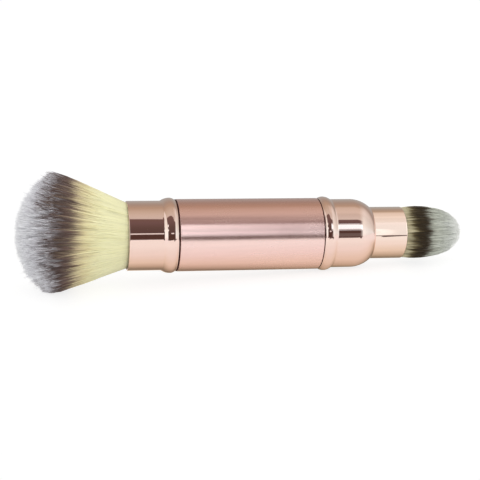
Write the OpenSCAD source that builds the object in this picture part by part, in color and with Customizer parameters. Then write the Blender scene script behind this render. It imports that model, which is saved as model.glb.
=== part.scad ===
// Double ended makeup brush, lying at rest on the flat of its large tuft
// and on the bead of its shoulder cap. Millimetres.
// Each piece is drawn about one axis, along X, and lie_down() puts them all
// in their resting position: +X to the small head, +Z up.

/* [Barrel] */
// Length of the barrel tube
barrel_len = 44.2; // [36:0.2:60]
// Outside diameter of the barrel tube
barrel_d = 22.1; // [21:0.1:24]
// Wall thickness of the barrel tube
barrel_wall = 1; // [0.6:0.1:1.4]

/* [Large ferrule] */
// Outside diameter of the large ferrule's straight stretch
ferrule_d = 21.2; // [20.4:0.1:21.4]
// Length of the straight stretch, from the rim to the bead
ferrule_len = 10.1; // [9:0.1:16]
// How far the large ferrule's bead stands proud of its straight stretch
ferrule_bead_h = 0.9; // [0.5:0.05:1.1]
// Sheet thickness of the large ferrule
ferrule_wall = 0.5; // [0.3:0.05:0.6]

/* [Shoulder cap] */
// Outside diameter of the cap's cylinder and dome
cap_d = 21.3; // [20.4:0.1:21.4]
// Length from the barrel to the end of the cap's bead
cap_bead_len = 4.4; // [3.8:0.1:5.2]
// How far the cap's bead stands proud of its cylinder
cap_bead_h = 0.85; // [0.5:0.05:1.1]
// Length of the plain cylinder between the bead and the dome
cap_cyl_len = 6.2; // [4:0.1:9]
// Radius of the dome's curve
dome_r = 9.2; // [7:0.1:10.6]
// Sheet thickness of the cap
cap_wall = 0.5; // [0.3:0.05:0.6]

/* [Small ferrule] */
// Outside diameter of the small ferrule
small_d = 16.2; // [14:0.1:17]
// Length of small ferrule that shows outside the dome
small_show = 10.3; // [6:0.1:14]
// Sheet thickness of the small ferrule
small_wall = 0.5; // [0.3:0.05:0.7]

/* [Large tuft] */
// Length of the large tuft from the ferrule's rim to its tip
tuft_len = 33.3; // [28:0.1:40]
// How fast the tuft widens, as radius gained for each mm of length
tuft_flare = 0.395; // [0.3:0.005:0.42]
// Radius of the domed end
tuft_dome_r = 22; // [20:0.1:26]
// Rounding between the flare and the domed end
tuft_round = 3.2; // [2.8:0.1:5]
// Upward lean of the tuft from the axis, in degrees
tuft_lean = 2.9; // [0:0.1:3]
// Depth of the flat that the tuft presses against the table
tuft_flat = 0.8; // [0.4:0.05:1.2]

/* [Small tuft] */
// Length of the small tuft from its ferrule's rim to its tip
small_tuft_len = 19.7; // [15:0.1:24]
// Widest radius of the small tuft
small_tuft_r = 8.15; // [7.8:0.01:9]
// Distance from the rim to the widest place
small_tuft_wide_at = 5.4; // [4:0.1:8]
// Shape of the end: 1 is an ellipse, less is blunter
small_tuft_point = 0.9; // [0.8:0.02:1]

/* [Hidden] */
$fn = 96;

// Stations along the axis, from the middle of the view
seam = 0.5;                                  // collar of the large insert, seen as a dark line
seam_fine = 0.25;                            // collar of the small insert
barrel_r = barrel_d / 2;
barrel_in = barrel_r - barrel_wall;
barrel_x0 = -20;
barrel_x1 = barrel_x0 + barrel_len;

// Large ferrule's bead: a wide arc on the outer side and a tighter one on the seam's side, each running out in a concave one
fer_r = ferrule_d / 2;
fer_in = fer_r - ferrule_wall;
fer_land_r = barrel_r - 0.05;                // the ferrule's end beside the seam
fer_bead_o = 4.6;                            // large ferrule's bead: convex arc, outer side
fer_bead_q = 0.95;                           // concave arc, outer side
fer_bead_i = 2.2;                            // convex arc, seam's side
bead_o = 3.3;                                // shoulder cap's bead: convex arc, outer side
bead_q = 1.3;                                // concave arc, outer side
bead_i = 2.4;                                // convex arc, seam's side
bead_k = 0.35;                               // concave arc of both beads, seam's side
fer_top = fer_r + ferrule_bead_h;
function reach(h, a, b) = sqrt(2 * (a + b) * h - h * h);   // run of a convex and a concave arc over a rise h
function turn(h, a, b) = acos((a + b - h) / (a + b));      // slope where they meet
fer_x1 = barrel_x0 - seam;                   // ferrule's end at the seam
fer_bead_x = fer_x1 - reach(fer_top - fer_land_r, fer_bead_i, bead_k) - 0.05;
fer_bead_x0 = fer_bead_x - reach(ferrule_bead_h, fer_bead_o, fer_bead_q);
fer_x0 = fer_bead_x0 - ferrule_len;          // rim of the large ferrule

// Shoulder cap
cap_r = cap_d / 2;
cap_in = cap_r - cap_wall;
cap_top = cap_r + cap_bead_h;
cap_land_r = barrel_r - 0.1;
cap_x0 = barrel_x1 + seam_fine;
cap_bead_x = cap_x0 + 0.05 + reach(cap_top - cap_land_r, bead_i, bead_k);
dome_x = barrel_x1 + cap_bead_len + cap_cyl_len;            // where the dome begins
small_r = small_d / 2;
small_in = small_r - small_wall;
dome_end = dome_x + sqrt(pow(dome_r, 2) - pow(dome_r - (cap_r - small_r), 2));
small_x1 = dome_end + small_show;            // rim of the small ferrule

// Inside
glue_len = 3.5;
root_depth = 5.8;                            // length of tuft held inside the large ferrule
small_root_depth = 8.4;
socket_x = barrel_x1 + 5.6;                  // floor of the small ferrule's socket
insert_wall = 1.4;
insert_lx0 = fer_x1 - 6;                     // inner end of the large insert
insert_depth = 12;                           // how far each insert goes into the barrel

// Lean of the large tuft, and below it the tilt at which the cap's bead and the tuft's flat both touch z = 0
lean_s = sin(tuft_lean);
lean_c = cos(tuft_lean);
// Large tuft: a straight flare, a rounded shoulder and a spherical end, d from the rim
dome_c = tuft_len - tuft_dome_r;             // centre of the spherical end
fl_a = atan(tuft_flare);
root_r = fer_in - 0.25;                      // radius where the flare leaves the rim
sh_a = root_r - tuft_round / cos(fl_a);      // the flare's line moved in by the rounding
sh_b = sh_a * tuft_flare - dome_c;
sh_g = pow(dome_c, 2) + pow(sh_a, 2) - pow(tuft_dome_r - tuft_round, 2);
sh_k = 1 + pow(tuft_flare, 2);
sh_d = (-sh_b + sqrt(pow(sh_b, 2) - sh_k * sh_g)) / sh_k;   // centre of the rounding
sh_r = sh_a + tuft_flare * sh_d;
sh_end = atan2(sh_r, sh_d - dome_c);         // where the rounding meets the spherical end

under_x = fer_x0 - sh_d * lean_c - sh_r * lean_s;             // centre of the rounding, on the underside
under_z = sh_d * lean_s - sh_r * lean_c;
run_a = cap_bead_x - under_x;
run_b = under_z + cap_top - bead_o;
tilt = asin((tuft_round - bead_o - tuft_flat) / sqrt(run_a * run_a + run_b * run_b)) - atan2(run_b, run_a);
lift = cap_bead_x * sin(tilt) + (cap_top - bead_o) * cos(tilt) + bead_o;

// The outermost points in X, which the origin lies midway between
far_c = fer_x0 - dome_c * lean_c;            // centre of the large tuft's spherical end
far_cz = dome_c * lean_s;
reach_lo = far_c * cos(tilt) + far_cz * sin(tilt) - tuft_dome_r;
small_tip = small_x1 + small_tuft_len;
small_mid = small_x1 + small_tuft_wide_at;
blunt = 2 / (2 - small_tuft_point);
reach_hi = small_mid * cos(tilt) + pow(pow((small_tip - small_mid) * cos(tilt), blunt) + pow(small_tuft_r * sin(tilt), blunt), 1 / blunt);
shift = (reach_lo + reach_hi) / 2;

module lie_down() translate([-shift, 0, lift]) rotate([0, tilt, 0]) children();

// A profile of [x along the axis, radius] points, turned about the X axis
module turned(points)
    rotate([0, 90, 0]) rotate_extrude() polygon([for (p = points) [p[1], p[0]]]);

module ring(x0, x1, r_out, r_in)
    turned([[x0, r_in], [x1, r_in], [x1, r_out], [x0, r_out]]);

// Points on an arc in the profile plane, angles from the +X direction
function arc(cx, cr, r, a0, a1, n) = [for (i = [0:n]) let (a = a0 + (a1 - a0) * i / n) [cx + r * cos(a), cr + r * sin(a)]];

// One face of a drawn bead, at a depth t under the outer face: rise on the left from r_l, fall on the right to r_r.
// Each side has its own convex arc p and concave arc q.
function bead(x, top, r_l, p_l, q_l, r_r, p_r, q_r, t) = concat(
    arc(x - reach(top - r_l, p_l, q_l), r_l + q_l, q_l + t, -90, -90 + turn(top - r_l, p_l, q_l), 6),
    arc(x, top - p_l, p_l - t, 90 + turn(top - r_l, p_l, q_l), 90, 12),
    arc(x, top - p_r, p_r - t, 90 - turn(top - r_r, p_r, q_r) / 12, 90 - turn(top - r_r, p_r, q_r), 11),
    arc(x + reach(top - r_r, p_r, q_r), r_r + q_r, q_r + t, -90 - turn(top - r_r, p_r, q_r), -90, 6));

function flipped(list) = [for (i = [len(list) - 1:-1:0]) list[i]];

// A tube's rounded rim: half a circle across the wall, from the inside to the outside, facing -X or +X
function rim_left(x, r_in, w) = [for (i = [0:8]) let (a = i * 22.5) [x + w / 2 - w / 2 * sin(a), r_in + w / 2 - w / 2 * cos(a)]];
function rim_right(x, r_in, w) = [for (i = [0:8]) let (a = i * 22.5) [x - w / 2 + w / 2 * sin(a), r_in + w / 2 + w / 2 * cos(a)]];

module large_ferrule() color("#e3ab95") lie_down()
    turned(concat(
        rim_left(fer_x0, fer_in, ferrule_wall),
        bead(fer_bead_x, fer_top, fer_r, fer_bead_o, fer_bead_q, fer_land_r, fer_bead_i, bead_k, 0),
        [[fer_x1, fer_land_r], [fer_x1, fer_land_r - ferrule_wall]],
        flipped(bead(fer_bead_x, fer_top, fer_r, fer_bead_o, fer_bead_q, fer_land_r, fer_bead_i, bead_k, ferrule_wall))));

module shoulder_cap() color("#e3ab95") lie_down()
    turned(concat(
        [[cap_x0, cap_land_r - cap_wall], [cap_x0, cap_land_r]],
        bead(cap_bead_x, cap_top, cap_land_r, bead_i, bead_k, cap_r, bead_o, bead_q, 0),
        arc(dome_x, cap_r - dome_r, dome_r, 90, asin((small_r - cap_r + dome_r) / dome_r), 24),
        arc(dome_x, cap_r - dome_r, dome_r - cap_wall, asin((small_r - cap_r + dome_r) / (dome_r - cap_wall)), 90, 24),
        flipped(bead(cap_bead_x, cap_top, cap_land_r, bead_i, bead_k, cap_r, bead_o, bead_q, cap_wall))));

module barrel() color("#d99a86") lie_down()
    turned([[barrel_x0, barrel_in], [barrel_x0, barrel_r - 0.15], [barrel_x0 + 0.15, barrel_r],
            [barrel_x1 - 0.15, barrel_r], [barrel_x1, barrel_r - 0.15], [barrel_x1, barrel_in]]);

module small_ferrule() color("#e8b9a4") lie_down()
    turned(concat(
        [[socket_x, small_in], [socket_x, small_r]],
        rim_right(small_x1, small_in, small_wall)));

// Moulded connector: a closed end in the ferrule, a collar at the seam, an open spigot in the barrel
module large_insert() color("#1c1718") lie_down()
    turned([[insert_lx0 + 0.4, 0], [insert_lx0 + 0.4, fer_in - insert_wall - 1], [insert_lx0, fer_in - insert_wall],
            [insert_lx0, fer_in - 0.3], [insert_lx0 + 0.3, fer_in], [fer_x1 - 0.6, fer_in],
            [fer_x1, fer_land_r - ferrule_wall], [fer_x1, fer_land_r - 0.05], [barrel_x0, fer_land_r - 0.05],
            [barrel_x0, barrel_in], [barrel_x0 + insert_depth - 0.5, barrel_in],
            [barrel_x0 + insert_depth, barrel_in - 0.5], [barrel_x0 + insert_depth, barrel_in - insert_wall],
            [insert_lx0 + 2.2, barrel_in - insert_wall], [insert_lx0 + 2.2, 0]]);

// Moulded connector: an open spigot in the barrel, a fine collar, a plug in the cap with a socket for the small ferrule
module small_insert() color("#1c1718") lie_down()
    turned([[socket_x - 1.6, 0], [socket_x - 1.6, barrel_in - insert_wall], [barrel_x1 - insert_depth, barrel_in - insert_wall],
            [barrel_x1 - insert_depth, barrel_in - 0.5], [barrel_x1 - insert_depth + 0.5, barrel_in],
            [barrel_x1, barrel_in], [barrel_x1, cap_land_r - 0.05], [cap_x0, cap_land_r - 0.05],
            [cap_x0, cap_land_r - cap_wall], [cap_x0 + 0.5, cap_in], [dome_x - 0.9, cap_in],
            [dome_x - 0.4, cap_in - 0.5], [dome_x - 0.4, small_r + 0.4], [dome_x - 0.8, small_r],
            [socket_x, small_r], [socket_x, 0]]);

module large_root_glue() color("#d8c48a") lie_down()
    turned([[insert_lx0 + 0.4, 0], [insert_lx0 + 0.4, fer_in - insert_wall - 1], [insert_lx0, fer_in - insert_wall],
            [insert_lx0, fer_in - 0.3], [insert_lx0 + 0.3, fer_in],
            [fer_x0 + root_depth, fer_in], [fer_x0 + root_depth, 0]]);

module small_root_glue() color("#d8c48a") lie_down()
    ring(small_x1 - small_root_depth - glue_len, small_x1 - small_root_depth, small_in, 0);

// Outline of the large tuft's flare, d from the rim and radius. It begins a little inside the held stretch.
function tuft_outline() = concat(
    [[-0.5, 0], [-0.5, root_r - 0.5 * tuft_flare]],
    arc(sh_d, sh_r, tuft_round, 90 + fl_a, sh_end, 16),
    arc(dome_c, 0, tuft_dome_r, sh_end - (sh_end / 24), 0, 23));

module large_bristles() color("#e6e2ba")
    difference() {
        lie_down() union() {
            ring(fer_x0, fer_x0 + root_depth, fer_in, 0);
            translate([fer_x0, 0, 0]) rotate([0, tuft_lean, 0]) mirror([1, 0, 0]) turned(tuft_outline());
        }
        translate([-200, -100, -50]) cube([200, 200, 50]);
    }

// Outline of the small tuft: a slight swell and a blunt dome
function swell(t) = small_in + (small_tuft_r - small_in) * pow(sin(90 * t), 0.6);
function small_outline() = concat(
    [[small_x1 - small_root_depth, 0], [small_x1 - small_root_depth, small_in], [small_x1, small_in]],
    [for (i = [1:10]) [small_x1 + small_tuft_wide_at * i / 10, swell(i / 10)]],
    [for (i = [1:24]) let (a = 90 * i / 24) [small_mid + (small_tip - small_mid) * pow(sin(a), small_tuft_point), i == 24 ? 0 : small_tuft_r * pow(cos(a), small_tuft_point)]]);

module small_bristles() color("#7d7867") lie_down() turned(small_outline());

large_bristles();
large_root_glue();
large_ferrule();
large_insert();
barrel();
small_insert();
shoulder_cap();
small_ferrule();
small_root_glue();
small_bristles();
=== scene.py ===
import math

import bpy
import numpy as np
from mathutils import Matrix, Vector
from mathutils.kdtree import KDTree


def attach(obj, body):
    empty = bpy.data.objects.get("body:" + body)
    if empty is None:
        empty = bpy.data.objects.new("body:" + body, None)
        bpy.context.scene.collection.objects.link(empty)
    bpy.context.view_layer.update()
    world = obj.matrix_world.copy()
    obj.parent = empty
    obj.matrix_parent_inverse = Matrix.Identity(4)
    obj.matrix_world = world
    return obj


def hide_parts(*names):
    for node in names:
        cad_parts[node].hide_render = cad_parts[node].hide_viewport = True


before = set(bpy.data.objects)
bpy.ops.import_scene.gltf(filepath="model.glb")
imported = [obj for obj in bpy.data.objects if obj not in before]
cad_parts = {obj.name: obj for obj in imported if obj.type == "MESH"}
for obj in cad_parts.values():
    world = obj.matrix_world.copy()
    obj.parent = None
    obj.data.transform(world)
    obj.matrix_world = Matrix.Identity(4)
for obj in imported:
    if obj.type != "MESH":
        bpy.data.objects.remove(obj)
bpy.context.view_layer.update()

scene = bpy.context.scene
scene.view_settings.view_transform = "Standard"
scene.view_settings.look = "None"
scene.view_settings.exposure = 0.0
scene.view_settings.gamma = 1.0
MM = 0.001
D2R = math.pi / 180

# ------------------------------------------------------------------ the shared frame, as in part.scad (mm)
BARREL_X0, BARREL_X1, BARREL_R = -20.0, 24.2, 11.05
FER_R, FER_IN, FER_TOP, FER_LAND = 10.6, 10.1, 11.5, 11.0
BEAD_O, BEAD_Q, BEAD_I, BEAD_K = 3.3, 1.3, 2.4, 0.35
FER_BEAD_O, FER_BEAD_Q, FER_BEAD_I = 4.6, 0.95, 2.2


def reach(h, a, b):
    return math.sqrt(2 * (a + b) * h - h * h)


FER_X1 = BARREL_X0 - 0.5
FER_BEAD_X = FER_X1 - reach(FER_TOP - FER_LAND, FER_BEAD_I, BEAD_K) - 0.05
FER_X0 = FER_BEAD_X - reach(FER_TOP - FER_R, FER_BEAD_O, FER_BEAD_Q) - 10.1
CAP_R, CAP_TOP, CAP_LAND = 10.65, 11.5, 10.95
CAP_X0 = BARREL_X1 + 0.25
CAP_BEAD_X = CAP_X0 + 0.05 + reach(CAP_TOP - CAP_LAND, BEAD_I, BEAD_K)
DOME_X, DOME_R, SMALL_R, SMALL_IN = BARREL_X1 + 4.4 + 6.2, 9.2, 8.1, 7.6
SMALL_X1 = DOME_X + math.sqrt(DOME_R**2 - (DOME_R - (CAP_R - SMALL_R)) ** 2) + 10.3

TUFT_LEN, FLARE, DOME_TR, ROUND, LEAN, FLAT = 33.3, 0.395, 22.0, 3.2, 2.9 * D2R, 0.8
SM_LEN, SM_R, SM_WIDE, SM_POINT = 19.7, 8.15, 5.4, 0.9
DOME_C = TUFT_LEN - DOME_TR
ROOT_R = FER_IN - 0.25
SH_A = ROOT_R - ROUND / math.cos(math.atan(FLARE))
SH_B = SH_A * FLARE - DOME_C
SH_G = DOME_C**2 + SH_A**2 - (DOME_TR - ROUND) ** 2
SH_K = 1 + FLARE**2
SH_D = (-SH_B + math.sqrt(SH_B**2 - SH_K * SH_G)) / SH_K
SH_R = SH_A + FLARE * SH_D
UX = FER_X0 - SH_D * math.cos(LEAN) - SH_R * math.sin(LEAN)
UZ = SH_D * math.sin(LEAN) - SH_R * math.cos(LEAN)
RA, RB = CAP_BEAD_X - UX, UZ + CAP_TOP - BEAD_O
TILT = math.asin((ROUND - BEAD_O - FLAT) / math.hypot(RA, RB)) - math.atan2(RB, RA)
LIFT = CAP_BEAD_X * math.sin(TILT) + (CAP_TOP - BEAD_O) * math.cos(TILT) + BEAD_O
FAR_C, FAR_Z = FER_X0 - DOME_C * math.cos(LEAN), DOME_C * math.sin(LEAN)
LO = FAR_C * math.cos(TILT) + FAR_Z * math.sin(TILT) - DOME_TR
_M = 2 / (2 - SM_POINT)
HI = (SMALL_X1 + SM_WIDE) * math.cos(TILT) + (
    ((SM_LEN - SM_WIDE) * math.cos(TILT)) ** _M + (SM_R * math.sin(TILT)) ** _M
) ** (1 / _M)
SHIFT = (LO + HI) / 2
AXIS = Vector((math.cos(TILT), 0, -math.sin(TILT)))
UP = Vector((math.sin(TILT), 0, math.cos(TILT)))


def lie_down(p):
    """Points (N, 3) in mm about the brush's own axis, to metres in the row frame."""
    c, s = math.cos(TILT), math.sin(TILT)
    x = p[..., 0] * c + p[..., 2] * s - SHIFT
    z = -p[..., 0] * s + p[..., 2] * c + LIFT
    return np.stack([x, p[..., 1], z], -1) * MM


# ------------------------------------------------------------------ camera: the photograph's view
FOCAL_PX = 1200.0
YAW, ELEV, DIST = 10.7 * D2R, 10.0 * D2R, 370.3
AXIS_AT_CENTRE = 5.65  # pixels by which the axis passes above the middle of the picture
RISE = 0.78 * D2R  # the axis rises to the right by this in the picture


def make_camera():
    cam = bpy.data.cameras.new("photo_camera")
    cam.lens, cam.sensor_width, cam.sensor_fit = FOCAL_PX / 480 * 36, 36, "HORIZONTAL"
    cam.clip_start, cam.clip_end = 0.02, 20
    ob = bpy.data.objects.new("photo_camera", cam)
    scene.collection.objects.link(ob)
    fwd = Vector((math.cos(ELEV) * math.sin(YAW), math.cos(ELEV) * math.cos(YAW), -math.sin(ELEV)))
    right = fwd.cross(Vector((0, 0, 1))).normalized()
    up = right.cross(fwd).normalized()
    # roll so that the axis rises as measured: found by bisection on the drawn slope
    p0 = Vector(lie_down(np.array([0.0, 0, 0])))

    def slope(roll):
        r = right * math.cos(roll) + up * math.sin(roll)
        u = r.cross(fwd)
        pos = p0 - fwd * DIST * MM - u * (AXIS_AT_CENTRE / FOCAL_PX * DIST * MM)
        pts = []
        for s in (-33.0, 46.0):
            v = Vector(lie_down(np.array([s, 0.0, 0.0]))) - pos
            d = v.dot(fwd)
            pts.append((v.dot(r) / d * FOCAL_PX, v.dot(u) / d * FOCAL_PX))
        return math.atan2(pts[1][1] - pts[0][1], pts[1][0] - pts[0][0])

    lo, hi = -15 * D2R, 15 * D2R
    for _ in range(60):
        mid = (lo + hi) / 2
        if slope(mid) > RISE:
            lo = mid
        else:
            hi = mid
    roll = (lo + hi) / 2
    r = right * math.cos(roll) + up * math.sin(roll)
    u = r.cross(fwd)
    pos = p0 - fwd * DIST * MM - u * (AXIS_AT_CENTRE / FOCAL_PX * DIST * MM)
    m = Matrix((r, u, -fwd)).transposed().to_4x4()
    m.translation = pos
    ob.matrix_world = m
    scene.camera = ob
    print(f"camera roll {roll / D2R:.2f} deg, tilt {TILT / D2R:.3f}, at {tuple(round(v, 4) for v in pos)}")
    return ob


camera = make_camera()


# ------------------------------------------------------------------ node helpers
def new_material(name):
    m = bpy.data.materials.new(name)
    m.use_nodes = True
    nt = m.node_tree
    bsdf = nt.nodes["Principled BSDF"]
    return m, nt, bsdf


def node(nt, kind, **kw):
    n = nt.nodes.new(kind)
    for k, v in kw.items():
        setattr(n, k, v)
    return n


def math_node(nt, op, a, b=None, c=None, clamp=False):
    n = node(nt, "ShaderNodeMath", operation=op, use_clamp=clamp)
    for i, v in enumerate((a, b, c)):
        if v is None:
            continue
        if isinstance(v, (int, float)):
            n.inputs[i].default_value = v
        else:
            nt.links.new(v, n.inputs[i])
    return n.outputs[0]


def vec_node(nt, op, a, b=None, out=0, scale=None):
    n = node(nt, "ShaderNodeVectorMath", operation=op)
    for i, v in enumerate((a, b)):
        if v is None:
            continue
        if isinstance(v, (tuple, list, Vector)):
            n.inputs[i].default_value = tuple(v)
        else:
            nt.links.new(v, n.inputs[i])
    if scale is not None:
        n.inputs["Scale"].default_value = scale
    return n.outputs[out]


def ramp_node(nt, fac, stops, interpolation="LINEAR"):
    n = node(nt, "ShaderNodeValToRGB")
    n.color_ramp.interpolation = interpolation
    e = n.color_ramp.elements
    while len(e) > 1:
        e.remove(e[-1])
    e[0].position, e[0].color = stops[0][0], (*stops[0][1], 1)
    for p, c in stops[1:]:
        x = e.new(p)
        x.color = (*c, 1)
    if fac is not None:
        nt.links.new(fac, n.inputs[0])
    return n.outputs[0]


def smooth(nt, x, lo, hi):
    n = node(nt, "ShaderNodeMapRange", interpolation_type="SMOOTHSTEP")
    nt.links.new(x, n.inputs[0])
    n.inputs[1].default_value, n.inputs[2].default_value = lo, hi
    n.inputs[3].default_value, n.inputs[4].default_value = 0, 1
    return n.outputs[0]


def mix_rgb(nt, fac, a, b, blend="MIX"):
    n = node(nt, "ShaderNodeMix", data_type="RGBA", blend_type=blend)
    for sock, v in ((n.inputs[0], fac), (n.inputs[6], a), (n.inputs[7], b)):
        if isinstance(v, (int, float)):
            sock.default_value = v
        elif isinstance(v, (tuple, list)):
            sock.default_value = (*v, 1)
        else:
            nt.links.new(v, sock)
    return n.outputs[2]


# ------------------------------------------------------------------ the studio, seen only in reflections
def make_world():
    w = bpy.data.worlds.new("studio")
    scene.world = w
    w.use_nodes = True
    nt = w.node_tree
    nt.nodes.clear()
    out = node(nt, "ShaderNodeOutputWorld")
    d = node(nt, "ShaderNodeTexCoord").outputs["Generated"]
    along = vec_node(nt, "DOT_PRODUCT", d, AXIS, out=1)
    up = vec_node(nt, "DOT_PRODUCT", d, UP, out=1)
    front = vec_node(nt, "DOT_PRODUCT", d, (0, -1, 0), out=1)
    beta = math_node(nt, "ARCTAN2", up, front)  # 0 in front, 90 deg overhead, 180 deg behind
    fac = math_node(nt, "MULTIPLY_ADD", beta, 1 / (2 * math.pi), 0.5)  # -180..180 deg to 0..1
    az = math_node(nt, "MULTIPLY", math_node(nt, "ARCSINE", along), 180 / math.pi)
    el = math_node(nt, "MULTIPLY", beta, 180 / math.pi)

    def at(deg):
        return deg / 360 + 0.5

    def window(x, a0, a1, b0, b1):
        return math_node(nt, "MULTIPLY", smooth(nt, x, a0, a1), math_node(nt, "SUBTRACT", 1.0, smooth(nt, x, b0, b1)))

    # walls and ceiling, a little brighter on the right
    room = ramp_node(
        nt, fac,
        [(0.0, (0.45, 0.45, 0.44)), (at(-150), (0.6, 0.58, 0.54)), (at(-60), (1, 1, 1)), (at(0), (1, 1, 1)),
         (at(55), (0.72, 0.68, 0.62)), (at(68), (0.67, 0.61, 0.55)), (at(78), (0.67, 0.6, 0.52)), (at(93), (0.61, 0.53, 0.43)),
         (at(112), (0.5, 0.4, 0.3)), (at(130), (0.42, 0.36, 0.3)), (at(152), (0.43, 0.43, 0.4)), (1.0, (0.45, 0.45, 0.44))],
    )
    right = math_node(nt, "MULTIPLY", smooth(nt, az, 15.0, 15.6), window(el, 74, 84, 100, 114))
    room = mix_rgb(nt, math_node(nt, "MULTIPLY", right, 0.32), room, (0.95, 0.87, 0.80))
    # the dark side that the camera stands on, its top edge lower on the right
    dark = ramp_node(
        nt, fac,
        [(at(-5), (0.10, 0.06, 0.05)), (at(3), (0.085, 0.045, 0.038)), (at(9), (0.09, 0.05, 0.042)), (at(22), (0.115, 0.075, 0.07)),
         (at(34), (0.13, 0.085, 0.075)), (at(50), (0.17, 0.11, 0.105)), (at(66), (0.19, 0.12, 0.105))],
    )
    top = ramp_node(
        nt, math_node(nt, "MULTIPLY_ADD", az, 1 / 180, 0.5),
        [(0.0, (0.72,) * 3), (-5 / 180 + 0.5, (0.715,) * 3), (6.5 / 180 + 0.5, (0.655,) * 3), (16 / 180 + 0.5, (0.545,) * 3), (1.0, (0.5,) * 3)],
    )
    over = math_node(nt, "MULTIPLY_ADD", top, -100, el)
    # its lower edge is a little higher in the ferrule's mirror direction
    low = math_node(nt, "MULTIPLY_ADD", math_node(nt, "SUBTRACT", 1.0, window(az, 5.0, 5.5, 7.7, 8.3)), 4.0, el)
    mask = math_node(nt, "MULTIPLY", window(az, -40, -35, 34, 37),
                     math_node(nt, "MULTIPLY", smooth(nt, low, -5.5, -3.5), math_node(nt, "SUBTRACT", 1.0, smooth(nt, over, -2.0, 1.5))))
    col = mix_rgb(nt, mask, room, dark)
    # the bright sides, all that lies beyond the dark
    open_side = ramp_node(
        nt, fac,
        [(at(-10), (0.98, 1.0, 0.98)), (at(-2), (1.04, 1.12, 1.10)), (at(10), (1.07, 1.20, 1.20)), (at(24), (1.04, 1.17, 1.16)),
         (at(36), (0.98, 1.06, 1.02)), (at(48), (0.95, 1.0, 0.95)), (at(62), (0.92, 0.96, 0.91)), (at(78), (0.85, 0.86, 0.81)),
         (at(92), (0.88, 0.88, 0.83)), (at(112), (0.76, 0.73, 0.67)), (at(132), (0.42, 0.38, 0.34))],
    )
    far = ramp_node(
        nt, math_node(nt, "MULTIPLY_ADD", az, 1 / 180, 0.5),
        [(0.0, (0.92,) * 3), (-42 / 180 + 0.5, (1.08,) * 3), (43 / 180 + 0.5, (1.0,) * 3),
         (50 / 180 + 0.5, (0.94,) * 3), (64 / 180 + 0.5, (0.88,) * 3), (74 / 180 + 0.5, (0.88,) * 3), (1.0, (0.85,) * 3)],
    )
    open_side = mix_rgb(nt, 1.0, open_side, far, "MULTIPLY")
    high = smooth(nt, el, 46, 58)
    side = math_node(nt, "MAXIMUM", math_node(nt, "MULTIPLY", smooth(nt, az, 33, 36.5), math_node(nt, "SUBTRACT", 1.0, high)), smooth(nt, az, 24, 43))
    side = math_node(nt, "MAXIMUM", side, math_node(nt, "SUBTRACT", 1.0, smooth(nt, az, -40, -35)))
    side = math_node(nt, "MULTIPLY", side, window(el, -3.4, -2.4, 118, 150))
    col = mix_rgb(nt, side, col, open_side)
    # lamps: a thin lamp low in front and two small ones far to the left
    line = math_node(nt, "MULTIPLY", window(el, 12.2, 13.6, 15.6, 17.0), window(az, -14, -10, 8.4, 9.0))
    col = mix_rgb(nt, line, col, (0.95, 0.95, 0.95))
    dots = math_node(nt, "MAXIMUM", window(el, 37, 39, 44, 46), window(el, 22, 24, 28, 30))
    dots = math_node(nt, "MULTIPLY", dots, window(az, -38, -36, -31, -29))
    col = mix_rgb(nt, dots, col, (1.15, 1.2, 1.2))
    studio = node(nt, "ShaderNodeBackground")
    nt.links.new(col, studio.inputs[0])
    white = node(nt, "ShaderNodeBackground")
    white.inputs[0].default_value = (1, 1, 1, 1)
    white.inputs[1].default_value = 1.02
    mix = node(nt, "ShaderNodeMixShader")
    lp = node(nt, "ShaderNodeLightPath")
    nt.links.new(math_node(nt, "MAXIMUM", lp.outputs["Is Camera Ray"], lp.outputs["Is Diffuse Ray"]), mix.inputs[0])
    nt.links.new(studio.outputs[0], mix.inputs[1])
    nt.links.new(white.outputs[0], mix.inputs[2])
    nt.links.new(mix.outputs[0], out.inputs[0])


make_world()


def area(name, loc, target, size, power, color=(1, 1, 1), glossy=False):
    d = bpy.data.lights.new(name, "AREA")
    d.shape, d.size, d.size_y = "RECTANGLE", size[0], size[1]
    d.energy, d.color = power, color
    o = bpy.data.objects.new(name, d)
    scene.collection.objects.link(o)
    v = Vector(target) - Vector(loc)
    o.rotation_euler = v.to_track_quat("-Z", "Y").to_euler()
    o.location = loc
    o.visible_glossy = glossy
    o.visible_camera = False
    return o


area("front_fill", (-0.12, -0.75, 0.42), (0, 0, 0.015), (0.9, 0.6), 2.3)
area("top_soft", (0.0, 0.05, 0.9), (0, 0, 0), (1.0, 0.8), 0.3)

# lamps in front that only one piece of metal mirrors
def piece_lamp(piece, name, el0, el1, az0, az1, radiance, color, far=2.0):
    """A lamp with two sides along the brush's axis. It fills the angles el0..el1 round the axis and az0..az1 along it."""
    seen_by = bpy.data.collections.get(piece + "_only")
    if seen_by is None:
        seen_by = bpy.data.collections.new(piece + "_only")
        seen_by.objects.link(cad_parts[piece])
    mid = (el0 + el1) / 2 * D2R
    out = UP * math.sin(mid) + Vector((0, -1, 0)) * math.cos(mid)
    x0, x1 = far * math.tan(az0 * D2R), far * math.tan(az1 * D2R)
    size = (x1 - x0, 2 * far * math.tan((el1 - el0) / 2 * D2R))
    ob = area(name, (0, 0, 0), (0, 0, 1), size, radiance * math.pi * size[0] * size[1], color, glossy=True)
    m = Matrix((AXIS, out.cross(AXIS), out)).transposed().to_4x4()
    m.translation = Vector(lie_down(np.array([2.1, 0, 0]))) + out * far + AXIS * (x0 + x1) / 2
    ob.matrix_world = m
    ob.light_linking.receiver_collection = seen_by
    return ob


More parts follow.
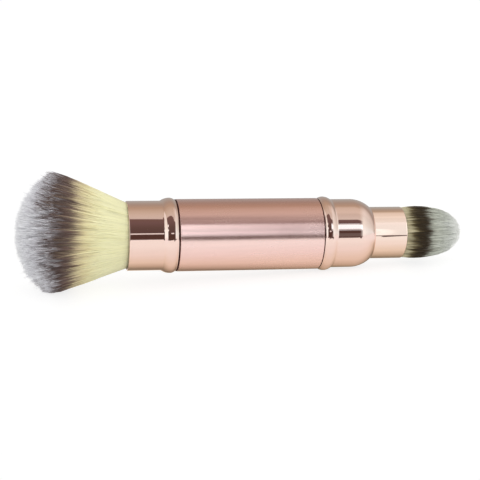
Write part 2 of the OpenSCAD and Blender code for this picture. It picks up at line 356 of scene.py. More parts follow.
piece_lamp("barrel", "tube_low", 5.2, 27, -20, 9, 1.45, (1, 1.04, 1.09))
piece_lamp("barrel", "tube_mid", 27, 41, -20, 7, 2.2, (1, 1.06, 1.10))
piece_lamp("barrel", "tube_high", 41, 57, -20, 10, 0.36, (1, 0.93, 0.88))
piece_lamp("shoulder_cap", "box_soft", 17.5, 41.0, 15.4, 36, 0.42, (1, 1.2, 1.28))
piece_lamp("shoulder_cap", "box", 22.5, 37.0, 15.6, 35, 0.66, (1, 1.22, 1.32))
piece_lamp("shoulder_cap", "box_foot", -2.5, 8.0, 15.4, 34, 0.07, (1, 1.1, 1.1))
piece_lamp("small_ferrule", "neck_wall", -4.0, 54.0, -10, 50, 0.83, (1, 1.08, 1.07))
piece_lamp("small_ferrule", "neck_glow", -4.0, 28.0, -10, 19.0, 0.13, (1, 1.1, 1.1))
piece_lamp("small_ferrule", "neck_flash", -4.0, 24.0, 18.75, 19.55, 0.22, (1, 1.1, 1.1))
piece_lamp("small_ferrule", "neck_top", 54.0, 84.0, -10, 50, 0.21, (1, 1.1, 1.1))
piece_lamp("small_ferrule", "neck_back", 84.0, 112.0, -10, 50, 0.12, (1, 1.05, 1.05))


def make_floor():
    n = 96
    verts, faces = [(0, 0, 0)], []
    rings = [0.03, 0.06, 0.1, 0.13, 0.16]
    for r in rings:
        verts += [(r * math.cos(2 * math.pi * i / n), r * math.sin(2 * math.pi * i / n), 0) for i in range(n)]
    faces += [(0, 1 + i, 1 + (i + 1) % n) for i in range(n)]
    for k in range(len(rings) - 1):
        a, b = 1 + k * n, 1 + (k + 1) * n
        faces += [(a + i, b + i, b + (i + 1) % n, a + (i + 1) % n) for i in range(n)]
    me = bpy.data.meshes.new("floor")
    me.from_pydata(verts, [], faces)
    ob = bpy.data.objects.new("floor", me)
    scene.collection.objects.link(ob)
    m, nt, b = new_material("pale_floor")
    b.inputs["Base Color"].default_value = (0.2, 0.2, 0.2, 1)
    b.inputs["Roughness"].default_value = 0.6
    # painted shadow: the brush keeps light from the strip of table below it, which its metal mirrors, so the strip's
    # emission colour is darkened there for glossy rays only
    co = node(nt, "ShaderNodeTexCoord").outputs["Object"]
    sep = node(nt, "ShaderNodeSeparateXYZ")
    nt.links.new(co, sep.inputs[0])
    off = math_node(nt, "ABSOLUTE", math_node(nt, "ADD", sep.outputs[1], -0.001))
    shade = ramp_node(
        nt, math_node(nt, "DIVIDE", off, 0.04),
        [(0.0, (0.16, 0.12, 0.06)), (0.07, (0.33, 0.26, 0.16)), (0.13, (0.61, 0.49, 0.35)), (0.22, (0.91, 0.78, 0.62)),
         (0.42, (1.0, 0.93, 0.87)), (0.8, (1.03, 1.03, 0.99)), (1.0, (1.05, 1.06, 1.02))])
    lp = node(nt, "ShaderNodeLightPath")
    strip = math_node(nt, "MULTIPLY", lp.outputs["Is Glossy Ray"],
                      math_node(nt, "SUBTRACT", 1.0, smooth(nt, math_node(nt, "ABSOLUTE", sep.outputs[0]), 0.056, 0.08)))
    # painted dark reflection: its front part is dark in the mirror, from further in on the right, darkened for glossy
    # rays only
    front = math_node(nt, "MULTIPLY", sep.outputs[1], -1.0)

    def across(slope):
        return math_node(nt, "MULTIPLY_ADD", front, -slope, sep.outputs[0])

    near = math_node(nt, "MULTIPLY", smooth(nt, across(0.33), 0.0374, 0.0388), math_node(nt, "SUBTRACT", 1.0, smooth(nt, across(0.7), 0.019, 0.022)))
    start = math_node(nt, "MULTIPLY_ADD", near, 0.034, front)
    tube = math_node(nt, "MULTIPLY", smooth(nt, across(0.25), -0.018, -0.004), math_node(nt, "SUBTRACT", 1.0, smooth(nt, across(0.25), 0.019, 0.023)))
    start = math_node(nt, "MULTIPLY_ADD", tube, -0.016, start)
    edge = math_node(nt, "MULTIPLY", smooth(nt, start, 0.080, 0.095),
                     math_node(nt, "MULTIPLY", smooth(nt, across(0.12), -0.022, -0.017), math_node(nt, "SUBTRACT", 1.0, smooth(nt, across(0.7), 0.022, 0.026))))
    # painted dark reflection, seen only by glossy rays
    painted_mirror_dark = math_node(nt, "MULTIPLY", lp.outputs["Is Glossy Ray"], edge)
    nt.links.new(mix_rgb(nt, painted_mirror_dark, (0.2, 0.2, 0.2), (0.02, 0.02, 0.02)), b.inputs["Base Color"])
    nt.links.new(mix_rgb(nt, painted_mirror_dark, mix_rgb(nt, strip, (1.0, 1.0, 1.0), shade), (0.12, 0.07, 0.06)), b.inputs["Emission Color"])
    nt.links.new(math_node(nt, "MULTIPLY_ADD", lp.outputs["Is Camera Ray"], 0.08, 0.72), b.inputs["Emission Strength"])
    me.materials.append(m)
    return ob


make_floor()


# ------------------------------------------------------------------ metals and plastics
def metal(name, color, rough, aniso=0.0, streak=0.0, wave=0.0, painted_top_tone=None):
    m, nt, b = new_material(name)
    b.inputs["Metallic"].default_value = 1.0
    co = node(nt, "ShaderNodeTexCoord").outputs["Object"]
    x = vec_node(nt, "DOT_PRODUCT", co, AXIS, out=1)  # along the axis
    # cloudy difference in the finish
    n1 = node(nt, "ShaderNodeTexNoise")
    nt.links.new(co, n1.inputs["Vector"])
    n1.inputs["Scale"].default_value = 90
    n1.inputs["Detail"].default_value = 4
    # lengthwise marks of drawing: long along the axis, fine across it
    sep = node(nt, "ShaderNodeSeparateXYZ")
    nt.links.new(co, sep.inputs[0])
    cx = node(nt, "ShaderNodeCombineXYZ")
    nt.links.new(math_node(nt, "MULTIPLY", x, 55), cx.inputs[0])
    nt.links.new(math_node(nt, "MULTIPLY", sep.outputs[1], 1400), cx.inputs[1])
    nt.links.new(math_node(nt, "MULTIPLY", sep.outputs[2], 1400), cx.inputs[2])
    n2 = node(nt, "ShaderNodeTexNoise")
    nt.links.new(cx.outputs[0], n2.inputs["Vector"])
    n2.inputs["Scale"].default_value = 1
    n2.inputs["Detail"].default_value = 3
    dark = tuple(c * (1 - 0.05 - 0.06 * streak) for c in color)
    light = tuple(min(1, c * (1.03 + 0.05 * streak)) for c in color)
    tint = mix_rgb(nt, math_node(nt, "MULTIPLY_ADD", n1.outputs["Fac"], 0.6 * (1 - streak), math_node(nt, "MULTIPLY", n2.outputs["Fac"], 0.4 + 0.6 * streak), clamp=True), dark, light)
    if painted_top_tone:
        # painted shade: a darker, redder tone round the upper side of the tube, set by the direction the surface faces
        up = vec_node(nt, "DOT_PRODUCT", node(nt, "ShaderNodeNewGeometry").outputs["Normal"], UP, out=1)
        tint = mix_rgb(nt, smooth(nt, up, 0.15, 0.75), tint, mix_rgb(nt, n2.outputs["Fac"], tuple(c * 0.95 for c in painted_top_tone), tuple(c * 1.04 for c in painted_top_tone)))
    nt.links.new(tint, b.inputs["Base Color"])
    r = math_node(nt, "MULTIPLY_ADD", n1.outputs["Fac"], rough * 0.4, rough * 0.7)
    r = math_node(nt, "MULTIPLY_ADD", n2.outputs["Fac"], rough * 0.2, r)
    nt.links.new(r, b.inputs["Roughness"])
    if aniso:
        b.inputs["Anisotropic"].default_value = aniso
        t = node(nt, "ShaderNodeCombineXYZ")
        for i in range(3):
            t.inputs[i].default_value = AXIS[i]
        nt.links.new(t.outputs[0], b.inputs["Tangent"])
    if wave:
        # a slight waviness of the drawn sheet
        cw = node(nt, "ShaderNodeCombineXYZ")
        nt.links.new(math_node(nt, "MULTIPLY", x, 70), cw.inputs[0])
        nt.links.new(math_node(nt, "MULTIPLY", sep.outputs[1], 420), cw.inputs[1])
        nt.links.new(math_node(nt, "MULTIPLY", sep.outputs[2], 420), cw.inputs[2])
        n3 = node(nt, "ShaderNodeTexNoise")
        nt.links.new(cw.outputs[0], n3.inputs["Vector"])
        n3.inputs["Scale"].default_value = 1
        n3.inputs["Detail"].default_value = 2
        bump = node(nt, "ShaderNodeBump")
        bump.inputs["Strength"].default_value = 1.0
        bump.inputs["Distance"].default_value = wave
        nt.links.new(n3.outputs["Fac"], bump.inputs["Height"])
        nt.links.new(bump.outputs[0], b.inputs["Normal"])
    return m


polished = metal("polished_rose_gold", (0.93, 0.70, 0.635), 0.05, wave=0.000003)
# its upper side gets a painted darker, redder tone
satin = metal("satin_rose_gold", (0.96, 0.695, 0.662), 0.26, aniso=0.85, streak=0.5, painted_top_tone=(0.865, 0.565, 0.522))
# painted light: the neck takes a lighter copy of the polished metal, so it looks brighter
neck = metal("polished_rose_gold_neck_brightened", (0.97, 0.77, 0.685), 0.05, wave=0.000003)


def plastic(name, color, rough):
    m, nt, b = new_material(name)
    co = node(nt, "ShaderNodeTexCoord").outputs["Object"]
    n = node(nt, "ShaderNodeTexNoise")
    nt.links.new(co, n.inputs["Vector"])
    n.inputs["Scale"].default_value = 900
    n.inputs["Detail"].default_value = 3
    nt.links.new(mix_rgb(nt, n.outputs["Fac"], tuple(c * 0.8 for c in color), tuple(c * 1.25 for c in color)), b.inputs["Base Color"])
    nt.links.new(math_node(nt, "MULTIPLY_ADD", n.outputs["Fac"], 0.15, rough), b.inputs["Roughness"])
    b.inputs["Specular IOR Level"].default_value = 0.1
    return m


black = plastic("black_plastic", (0.030, 0.006, 0.005), 0.5)
epoxy = plastic("epoxy", (0.62, 0.48, 0.22), 0.25)

for name, mat in (("large_ferrule", polished), ("shoulder_cap", polished), ("small_ferrule", neck), ("barrel", satin),
                  ("large_insert", black), ("small_insert", black), ("large_root_glue", epoxy), ("small_root_glue", epoxy)):
    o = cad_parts[name]
    if not o.material_slots:
        o.data.materials.append(mat)
    for s in o.material_slots:
        s.material = mat


# ------------------------------------------------------------------ fibres
CLASSES = 64
E_SPAN = 40.0  # the colour coordinate runs from 0 to this many mm


def fibre_material(name, stops, tint_var, span, rough=0.5, pale_var=0.05, dyed=(13.0, 17.0), shine=0.35, bloom=0.15):
    """Colour by the place along a fibre (v) and by its kind (u), which the fibres' own map holds."""
    m, nt, b = new_material(name)
    uv = node(nt, "ShaderNodeUVMap", uv_map="OFBake").outputs[0]
    sep = node(nt, "ShaderNodeSeparateXYZ")
    nt.links.new(uv, sep.inputs[0])
    kind = math_node(nt, "FLOOR", math_node(nt, "MULTIPLY", sep.outputs[0], CLASSES))
    wn = node(nt, "ShaderNodeTexWhiteNoise", noise_dimensions="1D")
    nt.links.new(kind, wn.inputs["W"])
    cx = node(nt, "ShaderNodeCombineXYZ")
    nt.links.new(math_node(nt, "MULTIPLY", kind, 7.31), cx.inputs[0])
    nt.links.new(math_node(nt, "MULTIPLY", sep.outputs[1], span * 0.35), cx.inputs[1])
    nz = node(nt, "ShaderNodeTexNoise")
    nt.links.new(cx.outputs[0], nz.inputs["Vector"])
    nz.inputs["Scale"].default_value = 1.0
    nz.inputs["Detail"].default_value = 2
    fac = math_node(nt, "MULTIPLY_ADD", math_node(nt, "SUBTRACT", nz.outputs["Fac"], 0.5), 1.6 / span, sep.outputs[1])
    col = ramp_node(nt, fac, [(e / span, c) for e, c in stops])
    # fibres differ more in the dyed part than in the natural one
    var = math_node(nt, "MULTIPLY_ADD", smooth(nt, sep.outputs[1], dyed[0] / span, dyed[1] / span), tint_var - pale_var, pale_var)
    var = math_node(nt, "MULTIPLY", var, math_node(nt, "MULTIPLY_ADD", smooth(nt, sep.outputs[1], 0.68, 0.82), -0.6, 1.0))
    shade = math_node(nt, "MULTIPLY_ADD", math_node(nt, "MULTIPLY_ADD", wn.outputs["Value"], 2.0, -1.0), var, 1.0)
    shade = math_node(nt, "MULTIPLY", shade, math_node(nt, "MULTIPLY_ADD", nz.outputs["Fac"], 0.1, 0.95))
    vm = node(nt, "ShaderNodeVectorMath", operation="SCALE")
    nt.links.new(col, vm.inputs[0])
    nt.links.new(shade, vm.inputs["Scale"])
    nt.links.new(vm.outputs[0], b.inputs["Base Color"])
    b.inputs["Roughness"].default_value = rough
    b.inputs["Specular IOR Level"].default_value = shine
    b.inputs["Sheen Weight"].default_value = bloom
    b.inputs["Sheen Roughness"].default_value = 0.4
    return m


def strands_mesh(name, pts, rad, kind, e, material, body="root"):
    """One mesh of three-sided tapered fibres. pts (N, K, 3) in metres, rad (N, K) in metres, kind (N,), e (N, K) in 0..1."""
    N, KK, _ = pts.shape
    tan = np.gradient(pts, axis=1)
    tan /= np.linalg.norm(tan, axis=2, keepdims=True) + 1e-12
    ref = np.zeros_like(tan)
    ref[..., 1] = 1.0
    ref[np.abs(tan[..., 1]) > 0.8] = (0, 0, 1.0)
    n1 = np.cross(tan, ref)
    n1 /= np.linalg.norm(n1, axis=2, keepdims=True) + 1e-12
    n2 = np.cross(tan, n1)
    rng = np.random.default_rng(len(name) + N)
    spin = rng.uniform(0, 2 * math.pi, (N, 1, 1))
    V = np.empty((N, KK, 3, 3))
    for j in range(3):
        a = spin + 2 * math.pi * j / 3
        V[:, :, j] = pts + (n1 * np.cos(a) + n2 * np.sin(a)) * rad[..., None]
    verts = V.reshape(-1, 3)
    base = (np.arange(N) * KK * 3)[:, None, None]
    k = (np.arange(KK - 1) * 3)[None, :, None]
    j = np.arange(3)[None, None, :]
    j2 = (j + 1) % 3
    quads = np.stack([base + k + j, base + k + j2, base + k + 3 + j2, base + k + 3 + j], -1).reshape(-1, 4)
    tip = (np.arange(N) * KK * 3)[:, None] + (KK - 1) * 3 + np.array([[0, 1, 2]])
    root = (np.arange(N) * KK * 3)[:, None] + np.array([[2, 1, 0]])
    tris = np.concatenate([tip, root])
    me = bpy.data.meshes.new(name)
    nq, nt_ = len(quads), len(tris)
    me.vertices.add(len(verts))
    me.vertices.foreach_set("co", verts.astype(np.float32).ravel())
    me.loops.add(nq * 4 + nt_ * 3)
    me.loops.foreach_set("vertex_index", np.concatenate([quads.ravel(), tris.ravel()]).astype(np.int32))
    me.polygons.add(nq + nt_)
    start = np.concatenate([np.arange(nq) * 4, nq * 4 + np.arange(nt_) * 3]).astype(np.int32)
    me.polygons.foreach_set("loop_start", start)
    me.update(calc_edges=True)
    # map: one strip per kind, v along the fibre
    w = 0.8 / CLASSES
    u0 = (kind + 0.1) / CLASSES
    uq = np.empty((N, KK - 1, 3, 4, 2))
    for jj in range(3):
        ua, ub = u0 + w * jj / 3, u0 + w * (jj + 1) / 3
        uq[:, :, jj, 0, 0] = ua[:, None]
        uq[:, :, jj, 1, 0] = ub[:, None]
        uq[:, :, jj, 2, 0] = ub[:, None]
        uq[:, :, jj, 3, 0] = ua[:, None]
        uq[:, :, jj, 0, 1] = e[:, :-1]
        uq[:, :, jj, 1, 1] = e[:, :-1]
        uq[:, :, jj, 2, 1] = e[:, 1:]
        uq[:, :, jj, 3, 1] = e[:, 1:]
    ut = np.empty((2, N, 3, 2))
    for h, kk in ((0, KK - 1), (1, 0)):
        for c in range(3):
            ut[h, :, c, 0] = u0 + w * (0.1 + 0.4 * c)
            ut[h, :, c, 1] = e[:, kk] + 0.0004 * (c == 1)
    uvs = np.concatenate([uq.reshape(-1, 2), ut.reshape(-1, 2)])
    layer = me.uv_layers.new(name="OFBake")
    layer.data.foreach_set("uv", np.clip(uvs, 0.001, 0.999).astype(np.float32).ravel())
    me.polygons.foreach_set("use_smooth", np.ones(nq + nt_, bool))
    me.materials.append(material)
    me.validate()
    ob = bpy.data.objects.new(name, me)
    scene.collection.objects.link(ob)
    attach(ob, body)
    tri_count = nq * 2 + nt_
    print(name, "fibres", N, "triangles", tri_count)
    return ob


def nearest(centres):
    """A function that gives, for points (N, 2), the index of the nearest centre."""
    tree = KDTree(len(centres))
    for i, c in enumerate(centres):
        tree.insert((c[0], c[1], 0), i)
    tree.balance()
    return lambda q: np.array([tree.find((a, b, 0))[1] for a, b in q])


def value_noise(p, seed, scale):
    """Smooth noise in -1..1 at points (N, D), D 1 to 3."""
    rng = np.random.default_rng(seed)
    size = 64
    D = p.shape[-1]
    table = rng.uniform(-1, 1, (size,) * D)
    q = p * scale
    i0 = np.floor(q).astype(int)
    f = q - i0
    f = f * f * (3 - 2 * f)
    out = 0
    for c in range(2**D):
        idx, wgt = [], 1
        for d in range(D):
            bit = (c >> d) & 1
            idx.append((i0[..., d] + bit) % size)
            wgt = wgt * (f[..., d] if bit else 1 - f[..., d])
        out = out + table[tuple(idx)] * wgt
    return out


# the large tuft's outline in d, mm from the rim
def large_flare(d):
    return ROOT_R + FLARE * d


_d = np.linspace(0, TUFT_LEN, 1200)
_sh_end = math.atan2(SH_R, SH_D - DOME_C)
_t1 = SH_D - ROUND * math.sin(math.atan(FLARE))
_t2 = DOME_C + DOME_TR * math.cos(_sh_end)
_prof = np.where(_d < _t1, large_flare(_d),
                 np.where(_d < _t2, SH_R + np.sqrt(np.maximum(0, ROUND**2 - (_d - SH_D) ** 2)),
                          np.sqrt(np.maximum(0, DOME_TR**2 - (_d - DOME_C) ** 2))))
_rho = _prof / large_flare(_d)  # the share of the flare's radius that ends at each d
_from = int(np.argmax(_rho < 0.9995))


def large_tip(rho):
    """Where a fibre at a share rho of the flare's radius ends, in mm from the rim."""
    return np.interp(-rho, -_rho[_from:], _d[_from:])


def large_place(d, rho, phi):
    """Tuft coordinates to row-frame points, leaning and pressed on the table."""
    r = rho * large_flare(d)
    x, y, z = -d, r * np.sin(phi), r * np.cos(phi)
    c, s = math.cos(LEAN), math.sin(LEAN)
    p = np.stack([x * c + z * s + FER_X0, y, -x * s + z * c], -1)
    return lie_down(p)


def press(p, rng, lift_to=0.0):
    """Fibres that would go below the table lie on it instead, spread a little sideways."""
    low = 0.0001 + 0.0006 * rng.random(p.shape[0])[:, None]
    z = p[..., 2]
    under = np.maximum(0, low - z)
    p[..., 2] = np.where(z < low, low + 0.12 * (z - low) * 0, z)
    p[..., 1] += np.sign(p[..., 1]) * under * 0.35
    return p


LARGE_STOPS = [
    (0.0, (0.84, 0.81, 0.51)), (7.5, (0.87, 0.84, 0.53)), (9.5, (0.855, 0.81, 0.50)), (11.3, (0.82, 0.755, 0.45)),
    (13.3, (0.74, 0.65, 0.38)), (15.3, (0.52, 0.42, 0.26)), (16.9, (0.22, 0.155, 0.105)), (18.1, (0.145, 0.088, 0.069)),
    (20.4, (0.125, 0.078, 0.068)), (22.0, (0.19, 0.145, 0.14)), (24.0, (0.42, 0.385, 0.40)), (26.5, (0.68, 0.66, 0.70)),
    (30.0, (0.86, 0.86, 0.89)), (40.0, (0.94, 0.94, 0.94)),
]


def large_tuft():
    rng = np.random.default_rng(71)
    mat = fibre_material("large_fibre", LARGE_STOPS, 0.27, E_SPAN)
    # where the photograph's camera looks from, round the axis
    near = math.atan2(-math.cos(ELEV), math.sin(ELEV))  # angle phi whose sin is the -Y side

    def colour_coord(d, tip, rho, phi, noise):
        """Place along the dyed pattern, mm. The dye line is slanted a little, and its edge runs in streaks along the fibres."""
        high = np.sin(phi - near)  # 1 at the upper outline of the photograph's view, -1 at the lower one
        late = np.interp(high, [-1, -0.75, 0, 0.8, 1], [0.5, 0.5, 0.7, 0.6, 0.3])[:, None] * np.interp(d, [12, 18, 20.5], [1, 1, 0])
        late = late + np.interp(high, [-1, -0.8, -0.4, 0.2, 0.6, 1], [-0.2, -0.2, 1.0, 1.8, 2.5, 2.4])[:, None] * np.interp(d, [18.5, 21, 25, 30], [0, 1, 1, 0])
        late = late + np.interp(high, [0.3, 0.8], [0, 1.5])[:, None] * np.interp(d, [25, 30], [0, 1])
        # the last stretch of the shorter fibres round the rim of the dome is undyed too
        late = late - np.interp(tip[:, None] - d, [0.3, 3.2], [1, 0]) * np.interp(np.abs(high), [0.6, 0.95], [0.3, 3.6])[:, None]
        ring = np.stack([np.sin(phi), np.cos(phi)], -1)

        def streaks(cells, length, seed):
            q = np.concatenate([np.repeat((ring * cells)[:, None], d.shape[1], 1), (d / length)[..., None]], -1)
            return value_noise(q + 200.5, seed, 1.0)

        fine, mid = streaks(88, 4.7, 11), streaks(36, 7.0, 12)
        edge = np.interp(d, [15, 19, 22, 26.5, 31], [0, 0, 1, 1, 0.4])
        amp1, amp2 = 1.8 + 4.4 * edge, 0.8 + 2.0 * edge
        e = d - late + amp1 * fine + amp2 * mid + noise[:, None] * (0.45 + 0.95 * edge)
        e = np.maximum(e, np.interp(d, [16.0, 19.5], [0, 17.2]))  # the root's cream ends before the dark band
        return np.clip(e, 0.3, 39.5) / E_SPAN

    def clumps(n, seed):
        g = np.random.default_rng(seed)
        r = np.sqrt(g.random(n)) * 1.0
        a = g.uniform(-math.pi, math.pi, n)
        return np.stack([r * np.sin(a), r * np.cos(a)], -1), g

    fine_xy, g1 = clumps(6500, 3)
    fine_shift = g1.normal(0, 0.8, 6500)
    fine_kind = g1.integers(0, CLASSES, 6500)
    fine_off = g1.normal(0, 0.010, (6500, 2)) * (1 + 2.2 * (g1.random((6500, 1)) < 0.12))
    wide_xy, g2 = clumps(420, 4)
    wide_off = g2.normal(0, 0.008, (420, 2))
    find_fine, find_wide = nearest(fine_xy), nearest(wide_xy)

    def build(name, rho, phi, K_, d_from, base_r, wave, seed, tip_jit=0.38, pull=0.45):
        g = np.random.default_rng(seed)
        n = len(rho)
        tip = large_tip(rho) - 0.3 + g.normal(0, tip_jit, n).clip(-1.3, 0.8)
        start = np.maximum(-1.5, tip - d_from) if d_from else np.full(n, -1.5)
        t = np.linspace(0, 1, K_)[None] ** 0.9
        d = start[:, None] + (tip - start)[:, None] * t
        q = np.stack([rho * np.sin(phi), rho * np.cos(phi)], -1)
        fi, wi = find_fine(q), find_wide(q)
        grow = np.clip((d - 12) / (TUFT_LEN - 12), 0, 1) ** 1.5
        target = fine_xy[fi] * 0.8 + wide_xy[wi] * 0.2
        qq = q[:, None] + (target - q)[:, None] * (pull * grow)[..., None]
        qq = qq + (fine_off[fi] + wide_off[wi])[:, None] * (np.clip((d - 8) / 18, 0, 1.4) ** 1.6)[..., None]
        # waviness, different in each fibre
        ph = g.uniform(0, 2 * math.pi, (n, 1))
        fr = g.uniform(0.12, 0.30, (n, 1))
        am = wave * g.gamma(2.0, 0.5, (n, 1))
        dirn = g.uniform(0, 2 * math.pi, (n, 1))
        wv = am * np.sin(ph + d * fr * 2) * np.clip(d / 10, 0, 1) ** 1.5
        drift = g.normal(0, 0.011, (n, 1)) * (1 + 1.6 * (g.random((n, 1)) < 0.05)) * np.clip(d / 20, 0, 1.4) ** 2
        qq[..., 0] += (wv * np.cos(dirn)) / large_flare(d) + drift * np.cos(dirn + 1)
        qq[..., 1] += (wv * np.sin(dirn)) / large_flare(d) + drift * np.sin(dirn + 1)
        rr = np.hypot(qq[..., 0], qq[..., 1])
        # no fibre leaves the outline by more than a stray's width
        lim = 1.0 + 0.012 * g.random((n, 1))
        qq *= np.where(rr > lim, lim / rr, 1)[..., None]
        rr, aa = np.hypot(qq[..., 0], qq[..., 1]), np.arctan2(qq[..., 0], qq[..., 1])
        # the outermost fibres curve in over their last stretch
        bend = np.clip((d - 14) / 9, 0, 1) ** 2 * 0.032 * rho[:, None]
        p = press(large_place(d, rr * (1 - bend), aa), g)
        left = (tip[:, None] - d)
        rad = base_r * (0.85 + 0.3 * g.random((n, 1))) * np.clip(left / 4.0, 0.10, 1) ** 0.6
        e = colour_coord(d, tip, rho, phi, fine_shift[fi] + g.normal(0, 0.9, n))
        kind = np.where(g.random(n) < 0.75, fine_kind[fi], g.integers(0, CLASSES, n))
        return strands_mesh(name, p, rad * MM, kind, e, mat)

    parts = []
    for k in range(2):  # the outer layers, drawn in full
        n = 4200
        rho = 1 - 0.10 * rng.random(n) ** 1.3
        phi = rng.uniform(-math.pi, math.pi, n)
        parts.append(build(f"large_tuft_outer_{k + 1}", rho, phi, 8, None, 0.105, 0.14, 100 + k))
    for k in range(2):  # the fibres whose ends make the dome
        n = 6600
        rho = np.sqrt(rng.random(n)) * 0.93
        phi = rng.uniform(-math.pi, math.pi, n)
        parts.append(build(f"large_tuft_dome_{k + 1}", rho, phi, 5, 9.0, 0.095, 0.12, 200 + k, tip_jit=0.34))
    # the dense middle, just under the fibres
    m, nrow, ncol = None, 60, 192
    prof = [(d, 0.93 * large_flare(d)) for d in np.linspace(-1.2, 17.5, 24)]
    core_dome = [(a, 0) for a in ()]
    c0, rr0 = DOME_C - 0.6, DOME_TR - 3.2
    a_end = math.atan2(0.93 * large_flare(17.5), 17.5 - c0)
    r_here = math.hypot(0.93 * large_flare(17.5), 17.5 - c0)
    for a in np.linspace(a_end, 0, 26)[1:]:
        blend = (a / a_end) ** 3
        rr_ = r_here * blend + rr0 * (1 - blend)
        prof.append((c0 + rr_ * math.cos(a), rr_ * math.sin(a)))
    prof = np.array(prof)
    ang = np.linspace(-math.pi, math.pi, ncol, endpoint=False)
    dd = np.repeat(prof[:, :1], ncol, 1)
    rho = np.repeat(prof[:, 1:] / large_flare(prof[:, :1]), ncol, 1)
    bumpy = value_noise(np.stack([np.sin(ang) * 9, np.cos(ang) * 9], -1) + 30, 8, 1.0)[None]
    rho = rho * (1 + 0.012 * bumpy)
    aa = np.repeat(ang[None], len(prof), 0)
    P3 = large_place(dd, rho, aa)
    P3[..., 2] = np.maximum(P3[..., 2], 0.0006)
    verts = P3.reshape(-1, 3)
    rows = len(prof)
    quads, uvs = [], []
    kinds = rng.integers(0, CLASSES, ncol)
    sh = rng.normal(0, 0.9, ncol)
    E = np.clip(dd + sh[None] + np.interp(dd, [13, 16], [-0.8, 1.0]), 0.3, 39) / E_SPAN
    for i in range(rows - 1):
        for j in range(ncol):
            j2 = (j + 1) % ncol
            quads.append((i * ncol + j, (i + 1) * ncol + j, (i + 1) * ncol + j2, i * ncol + j2))
            u0, u1 = (kinds[j] + 0.1) / CLASSES, (kinds[j] + 0.9) / CLASSES
            uvs += [(u0, E[i, j]), (u0, E[i + 1, j]), (u1, E[i + 1, j]), (u1, E[i, j])]
    caps = [tuple(range(ncol))]
    me = bpy.data.meshes.new("large_tuft_core")
    me.from_pydata(verts.tolist(), [], quads + caps)
    for j in range(ncol):
        uvs.append(((kinds[0] + 0.5) / CLASSES + 0.2 / CLASSES * math.cos(j), 0.01 + 0.002 * math.sin(j)))
    layer = me.uv_layers.new(name="OFBake")
    layer.data.foreach_set("uv", np.array(uvs, np.float32).ravel())
    me.polygons.foreach_set("use_smooth", np.ones(len(me.polygons), bool))
    me.materials.append(mat)
    core = bpy.data.objects.new("large_tuft_core", me)
    scene.collection.objects.link(core)
    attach(core, "root")
    for o in parts + [core]:
        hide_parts("large_bristles")
    return parts


large_tuft()

SMALL_STOPS = [
    (0.0, (0.52, 0.46, 0.31)), (0.8, (0.58, 0.52, 0.35)), (1.9, (0.42, 0.37, 0.23)), (3.1, (0.13, 0.10, 0.048)),
    (4.6, (0.046, 0.031, 0.014)), (7.3, (0.040, 0.026, 0.013)), (8.3, (0.12, 0.105, 0.08)), (9.5, (0.44, 0.45, 0.38)),
    (12.0, (0.66, 0.68, 0.60)), (14.0, (0.78, 0.80, 0.73)), (16.5, (0.90, 0.92, 0.87)), (19.0, (0.97, 0.98, 0.94)), (24.0, (0.98, 0.98, 0.95)),
]


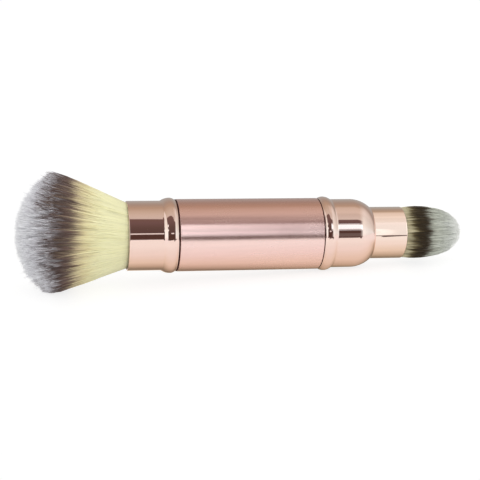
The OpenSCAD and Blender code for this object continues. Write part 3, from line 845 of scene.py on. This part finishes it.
def small_tuft():
    rng = np.random.default_rng(19)
    span = 24.0
    mat = fibre_material("small_fibre", SMALL_STOPS, 0.2, span, pale_var=0.16, dyed=(1.0, 4.0), shine=0.2, bloom=0.05)
    d_ = np.linspace(0, SM_LEN, 900)
    prof = np.where(d_ < SM_WIDE, SMALL_IN + (SM_R - SMALL_IN) * np.sin(np.pi / 2 * np.clip(d_ / SM_WIDE, 0, 1)) ** 0.6,
                    SM_R * np.maximum(0, 1 - (np.clip(d_ - SM_WIDE, 0, None) / (SM_LEN - SM_WIDE)) ** (2 / SM_POINT)) ** (SM_POINT / 2))

    def guide(d):
        d = np.clip(d, 0, SM_LEN)
        return np.where(d < SM_WIDE, SMALL_IN + (SM_R - SMALL_IN) * np.sin(np.pi / 2 * np.clip(d / SM_WIDE, 0, 1)) ** 0.6,
                        SM_R * (1 - 0.30 * ((d - SM_WIDE) / (SM_LEN - SM_WIDE)) ** 1.6))

    share = prof / guide(d_)
    i0 = int(np.argmax(d_ > SM_WIDE)) - 1

    def tip_of(rho):
        return np.interp(-rho, -np.minimum.accumulate(share[i0:]), d_[i0:])

    def place(d, rho, phi):
        r = rho * guide(d)
        p = np.stack([SMALL_X1 + d, r * np.sin(phi), r * np.cos(phi)], -1)
        return lie_down(p)

    g0 = np.random.default_rng(6)
    c_r, c_a = np.sqrt(g0.random(260)), g0.uniform(-math.pi, math.pi, 260)
    c_xy = np.stack([c_r * np.sin(c_a), c_r * np.cos(c_a)], -1)
    c_sh = g0.normal(0, 1, 260)

    def build(name, rho, phi, K_, back, base_r, wave, seed):
        g = np.random.default_rng(seed)
        n = len(rho)
        tip = tip_of(rho) - 0.1 + g.normal(0, 0.35, n).clip(-1.0, 0.5)
        start = np.full(n, -1.2) if back is None else np.maximum(-1.2, tip - back)
        d = start[:, None] + (tip - start)[:, None] * np.linspace(0, 1, K_)[None] ** 0.9
        q = np.stack([rho * np.sin(phi), rho * np.cos(phi)], -1)
        ci = ((q[:, None] - c_xy[None]) ** 2).sum(-1).argmin(1)
        grow = np.clip(d / SM_LEN, 0, 1) ** 1.5
        qq = q[:, None] + (c_xy[ci] - q)[:, None] * (0.4 * grow)[..., None]
        ph, fr = g.uniform(0, 2 * math.pi, (n, 1)), g.uniform(0.2, 0.5, (n, 1))
        am, dirn = wave * g.gamma(2, 0.5, (n, 1)), g.uniform(0, 2 * math.pi, (n, 1))
        wv = am * np.sin(ph + d * fr * 2) * np.clip(d / 6, 0, 1)
        qq[..., 0] += wv * np.cos(dirn) / 8
        qq[..., 1] += wv * np.sin(dirn) / 8
        rr = np.hypot(qq[..., 0], qq[..., 1])
        lim = 1.0 + 0.012 * g.random((n, 1))
        qq *= np.where(rr > lim, lim / rr, 1)[..., None]
        rr, aa = np.hypot(qq[..., 0], qq[..., 1]), np.arctan2(qq[..., 0], qq[..., 1])
        p = place(d, rr, aa)
        left = tip[:, None] - d
        rad = base_r * (0.85 + 0.3 * g.random((n, 1))) * np.clip(left / 5.0, 0.07, 1) ** 0.6
        ring = np.stack([np.sin(phi), np.cos(phi)], -1)
        q3 = np.concatenate([np.repeat((ring * 24)[:, None], K_, 1), (d / 4)[..., None]], -1)
        q4 = np.concatenate([np.repeat((ring * 11)[:, None], K_, 1), (d / 6)[..., None]], -1)
        seen = phi - math.atan2(-math.cos(ELEV), math.sin(ELEV))  # 0 towards the photograph's view
        e = d + (0.35 + 0.35 * np.clip(np.cos(seen), 0, 1))[:, None] + 1.5 * value_noise(q3 + 100.5, 21, 1.0) + 0.8 * value_noise(q4 + 100.5, 22, 1.0) + g.normal(0, 0.35, n)[:, None]
        e = e - np.interp(np.sin(seen), [-1, -0.4, 0.1, 1], [-0.5, -0.4, -0.2, 0.6])[:, None] * np.interp(d, [5, 8], [0, 1])
        return strands_mesh(name, p, rad * MM, g.integers(0, CLASSES, n), np.clip(e, 0.2, 23.5) / span, mat)

    n = 3000
    a = build("small_tuft_outer", 1 - 0.12 * rng.random(n) ** 1.2, rng.uniform(-math.pi, math.pi, n), 8, None, 0.085, 0.10, 301)
    n = 3600
    b = build("small_tuft_dome", np.sqrt(rng.random(n)) * 0.92, rng.uniform(-math.pi, math.pi, n), 6, 9.0, 0.08, 0.10, 302)
    ncol = 128
    pr = [(d, 0.92 * float(guide(d))) for d in np.linspace(-1.0, 8.0, 14)]
    L2 = SM_LEN - 2.2
    for t in np.linspace(0, math.pi / 2, 20)[1:]:
        pr.append((8.0 + (L2 - 8.0) * math.sin(t), 0.92 * float(guide(8.0)) * math.cos(t)))
    pr = np.array(pr)
    ang = np.linspace(-math.pi, math.pi, ncol, endpoint=False)
    dd = np.repeat(pr[:, :1], ncol, 1)
    rr = np.repeat(pr[:, 1:], ncol, 1)
    pts = lie_down(np.stack([SMALL_X1 + dd, rr * np.sin(ang)[None], rr * np.cos(ang)[None]], -1))
    kinds, sh = rng.integers(0, CLASSES, ncol), rng.normal(0, 0.5, ncol)
    E = np.clip(dd + sh[None] + 0.3, 0.2, 23.5) / span
    quads, uvs = [], []
    for i in range(len(pr) - 1):
        for j in range(ncol):
            j2 = (j + 1) % ncol
            quads.append((i * ncol + j, i * ncol + j2, (i + 1) * ncol + j2, (i + 1) * ncol + j))
            u0, u1 = (kinds[j] + 0.1) / CLASSES, (kinds[j] + 0.9) / CLASSES
            uvs += [(u0, E[i, j]), (u1, E[i, j]), (u1, E[i + 1, j]), (u0, E[i + 1, j])]
    me = bpy.data.meshes.new("small_tuft_core")
    me.from_pydata(pts.reshape(-1, 3).tolist(), [], quads + [tuple(reversed(range(ncol)))])
    for j in range(ncol):
        uvs.append(((kinds[0] + 0.5) / CLASSES + 0.2 / CLASSES * math.cos(j), 0.01 + 0.002 * math.sin(j)))
    me.uv_layers.new(name="OFBake").data.foreach_set("uv", np.array(uvs, np.float32).ravel())
    me.polygons.foreach_set("use_smooth", np.ones(len(me.polygons), bool))
    me.materials.append(mat)
    core = bpy.data.objects.new("small_tuft_core", me)
    scene.collection.objects.link(core)
    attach(core, "root")
    for o in (a, b, core):
        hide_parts("small_bristles")


small_tuft()
